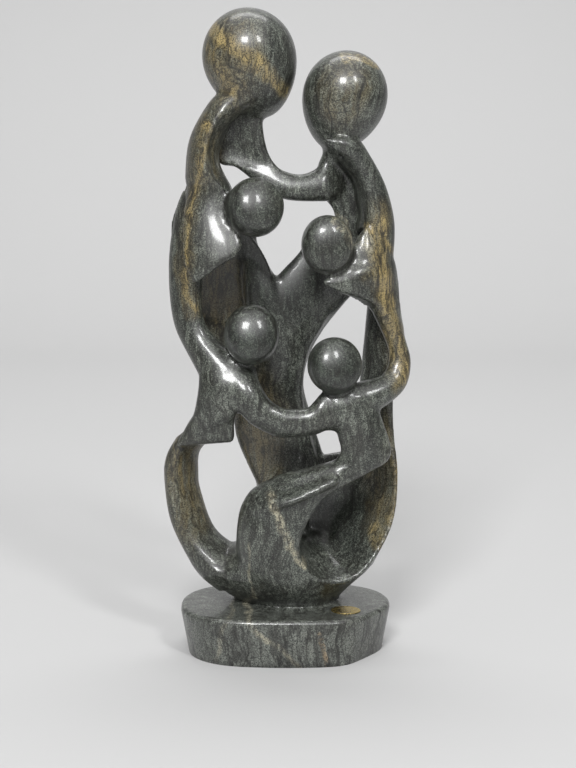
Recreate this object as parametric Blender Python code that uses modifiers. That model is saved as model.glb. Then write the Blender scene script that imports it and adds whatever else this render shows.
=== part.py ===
"""Family group carved from one block of polished serpentine, standing on its own slab.

Two parents with egg-shaped heads share one loop of arms. Four children with
ball heads hang from that loop, and the bodies run down into an open bowl.
Metres, +Z up, -Y is the front. The origin is the middle of the slab's underside.
"""

import math

import bmesh
import bpy
import numpy as np
from mathutils import Vector

# Driving sizes, in metres.
FIGURE_HEIGHT = 0.518
BASE_WIDTH = 0.186
BASE_DEPTH = 0.126
BASE_HEIGHT = 0.042
BASE_EDGE = 0.004
SEAL_LENGTH = 0.026
SEAL_WIDTH = 0.023
SEAL_THICKNESS = 0.0004
SEAL_CLEARANCE = 0.0003
SEAL_TURN = -15

# The figure is drawn on a grid of 518 steps in its height, so one step is 1 mm at its real size.
GRID_STEPS = 518
STEP = FIGURE_HEIGHT / GRID_STEPS
# The seal lies clear of the figure's foot, so its place is on the same grid.
SEAL_X = 52.5 * STEP
SEAL_Y = -27.2 * STEP
SECTION_SIDES = 28
RINGS_PER_SPAN = 6
BOWL_SIDES = 56
HEAD_DEPTH = 0.92

# The slab's outline from above, and how its ends draw in towards the floor.
SLAB_SIDES = 96
SLAB_FULLNESS = 2.5
SLAB_FLATS = ((-91, 0.97), (-38, 0.97))
SLAB_KEENNESS = 22
SLAB_TAPER = 0.008
SLAB_EXTRA = 0.006

# How the joined limbs are fused and eased, in metres, counts and shares.
VOXEL = 0.0022
CREASE_ROUNDS = 14
CREASE_FILL = 0.7
EDGE_ROUNDS = 4
EDGE_FILL = 0.5
EDGE_SOFTEN = 0.35
LEVEL_WITHIN = 0.001
TRIANGLES = 9400
SEAL_SIDES = 48


def clear_scene():
    for thing in list(bpy.data.objects):
        bpy.data.objects.remove(thing, do_unlink=True)


def mesh_object(name, vertices, faces):
    mesh = bpy.data.meshes.new(name)
    mesh.from_pydata([tuple(v) for v in vertices], [], faces)
    thing = bpy.data.objects.new(name, mesh)
    bpy.context.scene.collection.objects.link(thing)
    return thing


def on_slab(point):
    """A point of the drawing grid, which starts at the top of the slab, in metres."""
    return Vector(point) * STEP + Vector((0, 0, BASE_HEIGHT))


def smooth_run(stations):
    """Catmull-Rom curve through the stations, in grid steps and degrees."""
    knots = np.array(stations, float)
    ends = np.vstack([2 * knots[0] - knots[1], knots, 2 * knots[-1] - knots[-2]])
    run = []
    for i in range(1, len(ends) - 2):
        before, start, end, after = ends[i - 1], ends[i], ends[i + 1], ends[i + 2]
        for t in np.arange(RINGS_PER_SPAN) / RINGS_PER_SPAN:
            run.append(
                start
                + 0.5 * t * (end - before)
                + t * t * (before - 2.5 * start + 2 * end - 0.5 * after)
                + t**3 * (1.5 * (start - end) + 0.5 * (after - before))
            )
    run.append(knots[-1])
    return np.array(run)


def skinned(name, rings):
    """A closed body through rings of grid points, all with the same count, capped at both ends."""
    sides = len(rings[0])
    points = [on_slab(point) for ring in rings for point in ring]
    faces = [tuple(range(sides)), tuple(range(len(points) - sides, len(points)))]
    for low in range(0, len(points) - sides, sides):
        for j in range(sides):
            k = (j + 1) % sides
            faces.append((low + j, low + k, low + sides + k, low + sides + j))
    thing = mesh_object(name, points, faces)
    face_outwards(thing)
    return thing


def oval(edge):
    """Shares across and out of a section. edge 1 is an oval, and more gives a keener edge."""
    angles = 2 * np.pi * np.arange(SECTION_SIDES) / SECTION_SIDES
    out = np.sign(np.sin(angles)) * np.abs(np.sin(angles)) ** edge
    return list(zip(np.cos(angles), out))


def at(x1, y1, z1, x2, y2, z2, thick, swell=0.0):
    """One section of a sheet: its two edges, its thickness, and how far its middle swells out."""
    return (x1, y1, z1, x2, y2, z2, thick, swell)


def sheet(name, stations, edge=1.0):
    """A sheet of stone between two edge lines, whose face looks to the front.

    The first edge is on the left where the sheet runs down, and below where it runs to the right.
    """
    run = smooth_run(stations)
    first, last = run[:, 0:3], run[:, 3:6]
    along = np.gradient((first + last) / 2, axis=0)
    rings = []
    for row, left, right, tangent in zip(run, first, last, along):
        middle, half = (left + right) / 2, (right - left) / 2
        look = np.cross(tangent, half)
        look = look / np.linalg.norm(look)
        thick, swell = max(row[6], 0.5) / 2, row[7]
        rings.append(
            [middle + half * a + look * (b * thick + swell * (1 - a * a)) for a, b in oval(edge)]
        )
    return skinned(name, rings)


def cut(x, y, z, wide, thick, face=0.0, tilt=0.0, bow=0.0):
    """One section of a limb: its middle, its full width and thickness, and where its flat side looks.

    face is a compass angle: 0 looks to the front and 90 to the right. tilt lifts that look upwards.
    bow bends the section: its two edges come forward by that much, which hollows the side.
    """
    return (x, y, z, wide, thick, face, tilt, bow)


def limb(name, stations):
    """A closed loft with oval sections, each turned about the height."""
    run = smooth_run(stations)
    along = np.gradient(run[:, :3], axis=0)
    rings = []
    for row, tangent in zip(run, along):
        x, y, z, wide, thick, face, tilt, bow = row
        tangent = tangent / np.linalg.norm(tangent)
        face, tilt = math.radians(face), math.radians(tilt)
        look = np.array(
            [math.sin(face) * math.cos(tilt), -math.cos(face) * math.cos(tilt), math.sin(tilt)]
        )
        look = look - tangent * look.dot(tangent)
        look = look / np.linalg.norm(look)
        side = np.cross(tangent, look) * max(wide, 0.5) / 2
        middle = np.array([x, y, z])
        rings.append(
            [middle + side * a + look * (b * max(thick, 0.5) / 2 + bow * a * a) for a, b in oval(1.0)]
        )
    return skinned(name, rings)


def face_outwards(thing):
    shape = bmesh.new()
    shape.from_mesh(thing.data)
    bmesh.ops.recalc_face_normals(shape, faces=shape.faces)
    shape.to_mesh(thing.data)
    shape.free()


def egg(name, centre, size, chin, lean=(0.0, 0.0)):
    """An egg: full width, depth and length, drawn in towards the chin, and leant in degrees.

    lean is how far the chin swings to the right, and how far it swings to the front.
    """
    bpy.ops.mesh.primitive_uv_sphere_add(segments=48, ring_count=32, radius=0.5)
    thing = bpy.context.active_object
    thing.name = name
    width, depth, length = size
    for v in thing.data.vertices:
        pinch = 1 - chin * (0.5 - v.co.z) ** 2
        v.co = Vector((v.co.x * width * pinch, v.co.y * depth * pinch, v.co.z * length)) * STEP
    thing.rotation_euler = (math.radians(lean[1]), -math.radians(lean[0]), 0)
    thing.location = on_slab(centre)
    return thing


def child_head(name, centre, size, look):
    """A round head of a width and height, turned to the right and up by look, in degrees.

    Its face is a low dome with a faint rim, and the back is a ball.
    """
    width, height = size
    profile = [
        (0.0, 1.0),
        (0.25, 0.985),
        (0.5, 0.93),
        (0.72, 0.83),
        (0.88, 0.68),
        (0.95, 0.48),
        (1.0, 0.2),
        (1.0, -0.1),
        (0.92, -0.4),
        (0.71, -0.7),
        (0.38, -0.92),
        (0.0, -1.0),
    ]
    depth = HEAD_DEPTH * width * STEP
    points = [(girth * width / 2 * STEP, 0, ahead * depth / 2) for girth, ahead in profile]
    mesh = bpy.data.meshes.new(name)
    mesh.from_pydata(points, [(k, k + 1) for k in range(len(points) - 1)], [])
    thing = bpy.data.objects.new(name, mesh)
    bpy.context.scene.collection.objects.link(thing)
    apply_modifier(
        thing,
        "SCREW",
        steps=40,
        render_steps=40,
        use_merge_vertices=True,
        merge_threshold=0.0001,
    )
    face_outwards(thing)
    thing.scale = (1, height / width, 1)
    thing.rotation_euler = (math.radians(90 - look[1]), 0, math.radians(look[0]))
    thing.location = on_slab(centre)
    return thing


def heads():
    return [
        egg("father_head", (-29, 0, 472), (84, 80, 95), 0.26, (17, 10)),
        egg("mother_head", (49, 0, 440), (76, 74, 87), 0.24, (-15, 8)),
        child_head("first_child_head", (-26, -30, 353), (48, 50), (18, 20)),
        child_head("second_child_head", (35, -32, 322), (44, 50), (5, 8)),
        child_head("third_child_head", (-29, -38, 246), (47, 51), (6, 20)),
        child_head("fourth_child_head", (41, -40, 220), (46, 48), (18, 18)),
    ]


def arms():
    """The one loop of arms that the whole family shares, with the faces inside the parents' arms."""
    return [
        sheet(
            "father_arm",
            [
                at(-25, -31, 451, -26, -31, 449, 3),
                at(-37, -27, 453, -35, -29, 442, 8),
                at(-50, -18, 451, -46, -27, 435, 11, 1),
                at(-63, -8, 441, -56, -27, 426, 13, 1),
                at(-80, -2, 410, -66, -27, 405, 15, 1),
                at(-85, -1, 378, -63, -26, 382, 15, 2),
                at(-84, -3, 365, -51, -22, 368, 15, 2),
                at(-87, -16, 340, -47, -28, 347, 13, 2),
                at(-87, -30, 313, -36, -43, 328, 10, 6),
                at(-81, -37, 295, -39, -49, 315, 7, 6),
                at(-75, -38, 290, -48, -47, 311, 4, 4),
            ],
            1.15,
        ),
        sheet(
            "father_inner",
            [
                at(-28, -28, 447, -28, -12, 440, 6),
                at(-53, -26, 428, -49, -3, 421, 9),
                at(-66, -26, 403, -58, 2, 398, 10),
                at(-66, -25, 391, -58, 2, 387, 10),
                at(-62, -24, 379, -53, 0, 376, 10),
                at(-54, -22, 369, -48, -4, 367, 9),
                at(-49, -22, 357, -45, -8, 355, 8),
            ],
        ),
        sheet(
            "father_band",
            [
                at(-86, 8, 363, -68, -10, 366, 18),
                at(-93, 8, 344, -70, -12, 345, 20),
                at(-99, 5, 300, -72, -16, 303, 21, 1),
                at(-94, -3, 249, -71, -20, 255, 20, 1),
                at(-75, -27, 211, -42, -21, 227, 22, 3),
                at(-63, -34, 196, -27, -26, 218, 22, 3),
                at(-43, -42, 183, -23, -32, 206, 22, 3),
                at(-29, -40, 169, -16, -38, 194, 21, 2),
                at(-16, -32, 162, -7, -45, 185, 20, 1),
                at(-3, -33, 158, 2, -45, 182, 20, 1),
                at(23, -33, 160, 19, -44, 183, 20, 1),
                at(34, -33, 163, 25, -42, 189, 20, 1),
                at(45, -33, 161, 31, -38, 196, 20, 1),
                at(55, -32, 154, 41, -34, 201, 20),
            ],
            0.95,
        ),
        sheet(
            "mother_arm",
            [
                at(30, -27, 409, 33, -27, 411, 3),
                at(40, -27, 401, 46, -26, 412, 9),
                at(51, -25, 394, 60, -17, 410, 13, 1),
                at(58, -23, 388, 68, -9, 398, 14, 1),
                at(67, -18, 369, 83, -1, 369, 15, 2),
                at(70, -17, 343, 92, 1, 339, 15, 2),
                at(75, -14, 314, 91, 2, 308, 15, 1),
                at(79, -8, 293, 88, 6, 289, 14),
            ],
            1.15,
        ),
        sheet(
            "mother_inner",
            [
                at(46, 8, 396, 47, -18, 396, 8),
                at(53, 8, 385, 55, -18, 389, 9),
                at(61, 10, 371, 65, -15, 376, 9),
                at(66, 10, 344, 69, -15, 348, 9),
                at(62, 6, 329, 70, -15, 334, 9),
            ],
        ),
    ]


def necks():
    """The father's neck and chest, the yoke to the mother's neck, and her hollow chest."""
    return [
        sheet(
            "yoke",
            [
                at(-46, 4, 445, -19, 2, 438, 28),
                at(-52, 8, 426, -20, 0, 424, 22, -5),
                at(-60, 10, 409, -18, 0, 408, 18, -8),
                at(-62, 9, 395, -14, 0, 395, 16, -7),
                at(-54, 7, 386, -8, 0, 386, 15, -4),
                at(-42, 4, 384, 0, 0, 381, 16, -2),
                at(-8, 2, 360, 14, 0, 378, 20),
                at(30, 5, 356, 26, 2, 383, 20),
                at(42, 8, 358, 30, 4, 391, 18, -1),
                at(50, 12, 366, 34, 8, 399, 14),
            ],
        ),
        sheet(
            "mother_chest",
            [
                at(32, 4, 404, 57, 6, 402, 26),
                at(31, 5, 392, 63, 12, 383, 20, -4),
                at(28, 3, 377, 68, 14, 368, 18, -7),
                at(30, 4, 362, 70, 14, 352, 18, -7),
                at(41, 8, 347, 72, 14, 337, 17, -6),
                at(42, 12, 328, 76, 14, 321, 17, -3),
                at(38, 14, 311, 82, 14, 302, 17),
                at(38, 17, 294, 82, 15, 287, 14),
            ],
        ),
    ]


def bodies():
    """The children's bodies, which flare out under their heads. The fourth runs on into the front leg."""
    return [
        sheet(
            "second_child",
            [
                at(60, -20, 326, 70, -17, 337, 8),
                at(56, -25, 317, 86, -9, 320, 13, 2),
                at(51, -29, 307, 93, -5, 306, 13, 5),
                at(42, -36, 299, 96, -3, 293, 12, 8),
                at(31, -42, 292, 98, -2, 279, 10, 8),
                at(40, -41, 285, 99, -2, 266, 10, 6),
                at(67, -27, 272, 101, -2, 245, 15, 3),
                at(76, -22, 262, 102, -2, 234, 16, 2),
                at(89, -17, 237, 104, -3, 215, 18, 2),
                at(91, -17, 224, 103, -5, 204, 19, 2),
                at(89, -21, 214, 97, -10, 192, 20, 2),
                at(79, -22, 207, 87, -24, 183, 20, 2),
                at(52, -30, 202, 58, -36, 168, 21, 2),
                at(39, -35, 198, 42, -37, 163, 21, 2),
            ],
            1.05,
        ),
        sheet(
            "third_child",
            [
                at(-77, -16, 221, -36, -30, 222, 20, 2),
                at(-74, -24, 205, -30, -36, 197, 21, 3),
                at(-78, -24, 179, -41, -34, 179, 20, 3),
                at(-84, -22, 167, -44, -34, 171, 18, 3),
                at(-93, -18, 150, -44, -33, 156, 14, 1),
                at(-95, -18, 145, -47, -33, 152, 12),
            ],
            0.8,
        ),
        sheet(
            "fourth_child",
            [
                at(41, -33, 191, 74, -28, 195, 22, 2),
                at(41, -34, 172, 80, -30, 179, 21, 3),
                at(47, -34, 147, 90, -34, 150, 17, 3),
                at(45, -33, 140, 88, -36, 137, 16, 3),
                at(39, -31, 135, 71, -38, 126, 17, 3),
                at(12, -28, 127, 41, -42, 111, 20, 4),
                at(-3, -27, 124, 31, -43, 103, 21, 4),
                at(-19, -26, 117, 23, -43, 91, 22, 4),
                at(-31, -25, 107, 17, -42, 79, 24, 5),
                at(-39, -25, 93, 13, -40, 66, 26, 6),
                at(-42, -25, 77, 13, -38, 53, 28, 6),
                at(-43, -24, 59, 17, -34, 41, 28, 6),
                at(-42, -22, 42, 26, -28, 28, 28, 5),
                at(-38, -16, 25, 37, -19, 14, 24, 4),
                at(-32, -7, 5, 39, -7, 1, 22, 2),
            ],
        ),
    ]


def backs():
    """The parents' backs: a shell on the left, and a trunk that forks in the middle."""
    return [
        limb(
            "father_back",
            [
                cut(-74, 0, 404, 10, 6, -55),
                cut(-74, 8, 386, 20, 10, -45),
                cut(-72, 16, 364, 32, 14, -30, 0, 2),
                cut(-70, 22, 338, 58, 14, -14, 0, 8),
                cut(-62, 28, 312, 78, 14, -8, 0, 14),
                cut(-54, 32, 286, 88, 15, -6, 0, 16),
                cut(-50, 34, 258, 86, 16, -6, 0, 14),
                cut(-45, 34, 230, 72, 18, -6, 0, 8),
                cut(-36, 33, 200, 50, 22, -8, 0, 2),
                cut(-24, 31, 165, 44, 26, -14),
                cut(-13, 28, 130, 42, 26, -14),
                cut(-5, 24, 95, 42, 26, -15),
                cut(-4, 18, 55, 50, 28, -10),
                cut(-4, 13, 20, 60, 32, 0),
            ],
        ),
        limb(
            "mother_back",
            [
                cut(60, 12, 380, 26, 8, -12),
                cut(66, 17, 352, 42, 14, -12),
                cut(64, 20, 326, 48, 19, -8),
                cut(53, 22, 303, 48, 20, -5),
                cut(33, 26, 276, 44, 22, 0),
                cut(14, 30, 252, 46, 24, 5),
                cut(0, 32, 225, 46, 26, 8),
                cut(-3, 32, 190, 38, 26, 10),
                cut(4, 31, 155, 40, 26, 12),
                cut(12, 29, 122, 44, 26, 12),
                cut(18, 26, 90, 50, 24, 8),
                cut(18, 18, 50, 60, 24, 5),
            ],
        ),
        sheet(
            "father_spine",
            [
                at(-43, 24, 336, -26, 24, 327, 13),
                at(-40, 22, 316, -22, 22, 311, 14),
                at(-36, 18, 284, -1, 18, 276, 16, 1),
                at(-35, 18, 261, 17, 18, 250, 18, 2),
                at(-35, 18, 237, 20, 18, 224, 20, 2),
                at(-38, 19, 210, 16, 19, 201, 20, 2),
                at(-44, 20, 180, 16, 20, 174, 20, 2),
                at(-44, 21, 146, 23, 21, 142, 20, 2),
                at(-22, 17, 95, 39, 17, 93, 20, 2),
            ],
        ),
        sheet(
            "mother_spine",
            [
                at(17, 24, 322, 65, 28, 293, 14),
                at(12, 22, 310, 56, 26, 279, 15),
                at(-10, 18, 286, 39, 21, 255, 17, 1),
                at(-19, 18, 268, 30, 20, 240, 18, 2),
                at(-24, 18, 241, 22, 19, 226, 18, 2),
                at(-26, 20, 213, 17, 19, 209, 18),
            ],
        ),
    ]


def legs():
    """The looped leg on the left, and the flat top of the bent leg across the front."""
    return [
        sheet(
            "left_leg",
            [
                at(-81, -14, 164, -55, -8, 159, 16),
                at(-94, -13, 149, -70, 6, 145, 14),
                at(-100, -11, 136, -77, 14, 133, 13),
                at(-103, -10, 118, -78, 17, 116, 13),
                at(-101, -10, 98, -76, 18, 97, 13),
                at(-89, -13, 64, -63, 17, 62, 13),
                at(-69, -20, 37, -37, 12, 43, 15),
                at(-57, -24, 30, -21, 8, 34, 17),
                at(-47, -24, 27, -9, 4, 30, 19),
            ],
        ),
        sheet(
            "left_hull",
            [
                at(-92, 0, 150, -83, -14, 153, 12),
                at(-102, 2, 133, -94, -11, 133, 12),
                at(-104, 3, 114, -97, -10, 115, 12),
                at(-99, 3, 76, -91, -11, 79, 13),
                at(-83, 3, 43, -73, -16, 46, 16),
                at(-72, 4, 27, -62, -20, 35, 18),
                at(-57, 6, 14, -47, -18, 25, 20),
            ],
        ),
        sheet(
            "front_leg",
            [
                at(45, -29, 135, 47, -45, 124, 11),
                at(35, -25, 132, 39, -52, 122, 12, -1),
                at(1, -20, 121, 9, -56, 109, 12, -1),
                at(-14, -20, 117, -4, -55, 104, 12),
                at(-25, -22, 110, -15, -51, 99, 13),
                at(-34, -24, 100, -25, -44, 88, 13),
            ],
            0.95,
        ),
    ]


def level(z, left, right, front, back):
    """A flat ring of the bowl, between its two ends and its two faces."""
    ring = []
    for k in range(BOWL_SIDES):
        angle = 2 * math.pi * k / BOWL_SIDES
        x = (left + right) / 2 + (right - left) / 2 * math.cos(angle)
        y = (front + back) / 2 + (back - front) / 2 * math.sin(angle)
        ring.append((x, y, z))
    return ring


def hollow(y, x, z, wide, high):
    """A ring of the hollow in the bowl, this far back, round its middle: a full oval."""
    ring = []
    for k in range(BOWL_SIDES):
        angle = 2 * math.pi * k / BOWL_SIDES
        across, up = math.cos(angle), math.sin(angle)
        across = math.copysign(abs(across) ** 0.8, across)
        up = math.copysign(abs(up) ** 0.8, up)
        ring.append((x + wide * across, y, z + high * up))
    return ring


def bowl():
    """The bowl under the legs, scooped out from the front on the right, and its two walls."""
    solid = skinned(
        "bowl",
        [
            level(-3, -41, 43, -16, 36),
            level(2, -45, 47, -18, 37),
            level(8, -53, 51, -26, 38),
            level(16, -60, 58, -33, 40),
            level(28, -70, 71, -39, 43),
            level(36, -66, 78, -41, 44),
            level(44, -56, 82, -41, 45),
            level(52, -46, 86, -42, 45),
            level(58, -38, 87, -41, 44),
        ],
    )
    scoop = skinned(
        "scoop",
        [
            hollow(-75, 56, 84, 52, 60),
            hollow(-45, 54, 82, 46, 56),
            hollow(-30, 52, 80, 42, 52),
            hollow(-10, 51, 81, 38, 46),
            hollow(8, 50, 83, 34, 39),
            hollow(20, 48, 86, 26, 30),
            hollow(27, 46, 90, 14, 15),
        ],
    )
    scoop.hide_render = True
    scoop.display_type = "WIRE"
    apply_modifier(solid, "BOOLEAN", object=scoop, operation="DIFFERENCE", solver="EXACT")
    bpy.data.objects.remove(scoop, do_unlink=True)
    return [
        solid,
        limb(
            "back_wall",
            [
                cut(83, 22, 204, 10, 7, -26),
                cut(79, 29, 174, 26, 14, -20, 0, 2),
                cut(74, 31, 150, 34, 16, -16, 0, 3),
                cut(71, 32, 122, 44, 18, -14, 0, 5),
                cut(56, 32, 98, 82, 19, -12, 0, 12),
                cut(44, 32, 78, 96, 20, -12, 0, 14),
                cut(38, 32, 56, 84, 22, -8, 0, 12),
                cut(36, 30, 38, 60, 22, 0, 0, 4),
            ],
        ),
        sheet(
            "right_wall",
            [
                at(70, 20, 326, 84, 6, 322, 7),
                at(73, 27, 300, 90, 9, 297, 12),
                at(73, 30, 270, 94, 10, 269, 14),
                at(63, 33, 162, 94, 9, 165, 14),
                at(57, 30, 106, 98, -2, 115, 13, -4),
                at(46, 20, 66, 93, -12, 74, 12, -7),
                at(32, 8, 38, 73, -24, 40, 12, -6),
                at(23, 0, 33, 56, -29, 28, 12, -4),
                at(13, -10, 36, 35, -32, 27, 12, -2),
                at(2, -16, 43, 17, -33, 39, 12),
            ],
        ),
    ]


def plan_radius(angle, width, depth):
    """The slab's outline seen from above: a full oval, cut straight at the front and across one corner."""
    across, along = abs(math.cos(angle)) / (width / 2), abs(math.sin(angle)) / (depth / 2)
    nearness = (across**SLAB_FULLNESS + along**SLAB_FULLNESS) ** (SLAB_KEENNESS / SLAB_FULLNESS)
    for look, share in SLAB_FLATS:
        look = math.radians(look)
        reach = share * math.hypot(math.cos(look) * width / 2, math.sin(look) * depth / 2)
        nearness += max(math.cos(angle - look) / reach, 0) ** SLAB_KEENNESS
    return nearness ** (-1 / SLAB_KEENNESS)


def slab():
    """The slab left standing under the figure. It starts below the floor, where it is cut off later."""
    levels = [(-SLAB_EXTRA, SLAB_TAPER), (BASE_HEIGHT - BASE_EDGE, 0.0)]
    for turn in (30, 60, 90):
        lift = math.radians(turn)
        levels.append(
            (BASE_HEIGHT - BASE_EDGE * (1 - math.sin(lift)), BASE_EDGE * (1 - math.cos(lift)))
        )
    rings = []
    for height, inset in levels:
        for k in range(SLAB_SIDES):
            angle = 2 * math.pi * k / SLAB_SIDES
            ends = 0.25 + 0.75 * math.cos(angle) ** 2
            radius = plan_radius(angle, BASE_WIDTH, BASE_DEPTH)
            radius -= inset * (ends if height < 0 else 1)
            rings.append((radius * math.cos(angle), radius * math.sin(angle), height))
    faces = [tuple(reversed(range(SLAB_SIDES)))]
    for low in range(0, (len(levels) - 1) * SLAB_SIDES, SLAB_SIDES):
        for j in range(SLAB_SIDES):
            k = (j + 1) % SLAB_SIDES
            faces.append((low + j, low + k, low + SLAB_SIDES + k, low + SLAB_SIDES + j))
    faces.append(tuple(range(len(rings) - SLAB_SIDES, len(rings))))
    thing = mesh_object("slab", rings, faces)
    face_outwards(thing)
    return thing


def points_of(mesh):
    spots = np.empty(len(mesh.vertices) * 3)
    mesh.vertices.foreach_get("co", spots)
    return spots.reshape(-1, 3)


def put_points(mesh, spots):
    mesh.vertices.foreach_set("co", spots.ravel())
    mesh.update()


def ease(mesh, rounds, fill, soften):
    """Moves each point along its normal towards its neighbours: by fill in a crease, by soften on an edge."""
    ends = np.empty(len(mesh.edges) * 2, np.int64)
    mesh.edges.foreach_get("vertices", ends)
    ends = ends.reshape(-1, 2)
    count = len(mesh.vertices)
    near = np.bincount(ends.ravel(), minlength=count)[:, None]
    for _ in range(rounds):
        spots = points_of(mesh)
        normals = np.empty(count * 3)
        mesh.vertex_normals.foreach_get("vector", normals)
        normals = normals.reshape(-1, 3)
        total = np.zeros((count, 3))
        for axis in range(3):
            total[:, axis] += np.bincount(ends[:, 0], spots[ends[:, 1], axis], count)
            total[:, axis] += np.bincount(ends[:, 1], spots[ends[:, 0], axis], count)
        step = total / near - spots
        along = (step * normals).sum(1, keepdims=True)
        put_points(mesh, spots + normals * along * np.where(along > 0, fill, soften))


def apply_modifier(thing, kind, **values):
    modifier = thing.modifiers.new(kind.title(), kind)
    for key, value in values.items():
        setattr(modifier, key, value)
    bpy.context.view_layer.objects.active = thing
    bpy.ops.object.modifier_apply(modifier=modifier.name)


def fuse(name, things):
    """Joins the overlapping limbs into one skin, and eases where they meet."""
    bpy.ops.object.select_all(action="DESELECT")
    for thing in things:
        thing.select_set(True)
    bpy.context.view_layer.objects.active = things[0]
    bpy.ops.object.join()
    fused = things[0]
    fused.name = name
    fused.data.name = name
    bpy.ops.object.transform_apply(location=True, rotation=True, scale=True)
    apply_modifier(fused, "REMESH", mode="VOXEL", voxel_size=VOXEL, adaptivity=0.0)
    ease(fused.data, CREASE_ROUNDS, CREASE_FILL, 0.0)
    ease(fused.data, EDGE_ROUNDS, EDGE_FILL, EDGE_SOFTEN)
    return fused


def trim_underside(thing):
    """Cuts the slab off flat at the floor."""
    shape = bmesh.new()
    shape.from_mesh(thing.data)
    bmesh.ops.bisect_plane(
        shape,
        geom=shape.verts[:] + shape.edges[:] + shape.faces[:],
        plane_co=(0, 0, 0),
        plane_no=(0, 0, 1),
        clear_inner=True,
    )
    rim = [edge for edge in shape.edges if edge.is_boundary]
    bmesh.ops.triangle_fill(shape, edges=rim, use_beauty=True)
    bmesh.ops.triangulate(shape, faces=shape.faces)
    bmesh.ops.recalc_face_normals(shape, faces=shape.faces)
    shape.to_mesh(thing.data)
    shape.free()


def seal():
    """The small oval foil seal that lies on the slab, right of the front. It is left blank."""
    bpy.ops.mesh.primitive_cylinder_add(vertices=SEAL_SIDES, radius=0.5, depth=1)
    disc = bpy.context.active_object
    disc.name = "foil_seal"
    disc.data.name = "foil_seal"
    disc.scale = (SEAL_LENGTH, SEAL_WIDTH, SEAL_THICKNESS)
    bpy.ops.object.transform_apply(location=False, rotation=False, scale=True)
    disc.rotation_euler = (0, 0, math.radians(SEAL_TURN))
    disc.location = (SEAL_X, SEAL_Y, BASE_HEIGHT + SEAL_CLEARANCE + SEAL_THICKNESS / 2)
    return disc


def material(name, colour, roughness, metallic):
    made = bpy.data.materials.new(name)
    made.use_nodes = True
    shader = made.node_tree.nodes["Principled BSDF"]
    shader.inputs["Base Color"].default_value = (*colour, 1.0)
    shader.inputs["Roughness"].default_value = roughness
    shader.inputs["Metallic"].default_value = metallic
    made.diffuse_color = (*colour, 1.0)
    return made


def level_slab_top(mesh):
    """Sets the slab's top dead level again where the fusing left it nearly so."""
    spots = points_of(mesh)
    near = np.abs(spots[:, 2] - BASE_HEIGHT) < LEVEL_WITHIN
    spots[near, 2] = BASE_HEIGHT
    put_points(mesh, spots)


def carve():
    limbs = heads() + arms() + necks() + bodies() + backs() + legs() + bowl() + [slab()]
    stone = fuse("family_carving", limbs)
    count = len(stone.data.polygons) * 2
    apply_modifier(stone, "DECIMATE", ratio=TRIANGLES / count, use_collapse_triangulate=True)
    level_slab_top(stone.data)
    trim_underside(stone)
    return stone


def main():
    clear_scene()
    stone = carve()
    stone.data.materials.append(material("polished_serpentine", (0.075, 0.085, 0.07), 0.28, 0.0))
    disc = seal()
    disc.data.materials.append(material("gold_foil", (0.62, 0.47, 0.16), 0.3, 1.0))
    disc.parent = stone


main()
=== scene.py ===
"""Looks of the family group: one polished serpentine carving on its slab, and a blank foil seal."""

import math

import bmesh
import bpy
import numpy as np
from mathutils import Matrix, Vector


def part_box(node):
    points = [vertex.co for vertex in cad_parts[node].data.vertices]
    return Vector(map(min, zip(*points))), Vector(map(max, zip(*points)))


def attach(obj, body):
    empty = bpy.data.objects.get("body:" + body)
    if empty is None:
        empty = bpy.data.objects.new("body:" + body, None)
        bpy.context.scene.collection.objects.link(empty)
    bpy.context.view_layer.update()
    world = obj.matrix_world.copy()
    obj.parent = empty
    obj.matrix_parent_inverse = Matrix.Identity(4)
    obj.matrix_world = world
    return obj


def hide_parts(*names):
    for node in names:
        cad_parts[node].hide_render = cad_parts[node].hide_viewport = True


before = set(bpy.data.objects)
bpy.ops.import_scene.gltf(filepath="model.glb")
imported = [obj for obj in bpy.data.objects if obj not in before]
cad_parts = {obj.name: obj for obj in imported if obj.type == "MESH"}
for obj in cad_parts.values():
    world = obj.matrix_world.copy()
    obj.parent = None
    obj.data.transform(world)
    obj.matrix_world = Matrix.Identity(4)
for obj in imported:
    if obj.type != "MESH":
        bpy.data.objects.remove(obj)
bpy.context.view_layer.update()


# The parents' and children's heads.
# They are plain polished eggs and balls of the same stone, ground smooth and left without
# faces. Each child's head is a low dome with a faint rim round its face.

SLAB_TOP = 0.042
CHILD_DEPTH = 0.46  # from the middle of a child's head to its face, as a share of its width


def on_slab(point):
    """A point of the carver's drawing, in millimetres over the slab, in metres over the table."""
    return Vector(point) * 0.001 + Vector((0, 0, SLAB_TOP))


def rough_block(name, points, faces):
    """A piece of the carving from its points and faces, with every face turned outwards."""
    mesh = bpy.data.meshes.new(name)
    mesh.from_pydata([tuple(p) for p in points], [], faces)
    skin = bmesh.new()
    skin.from_mesh(mesh)
    bmesh.ops.recalc_face_normals(skin, faces=skin.faces)
    skin.to_mesh(mesh)
    skin.free()
    block = bpy.data.objects.new(name, mesh)
    bpy.context.scene.collection.objects.link(block)
    return block


def ring_faces(count, sides):
    """The two end faces and the side faces of a block made of rings, for count points in all."""
    faces = [tuple(range(sides)), tuple(range(count - sides, count))]
    for low in range(0, count - sides, sides):
        for j in range(sides):
            k = (j + 1) % sides
            faces.append((low + j, low + k, low + sides + k, low + sides + j))
    return faces


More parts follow.
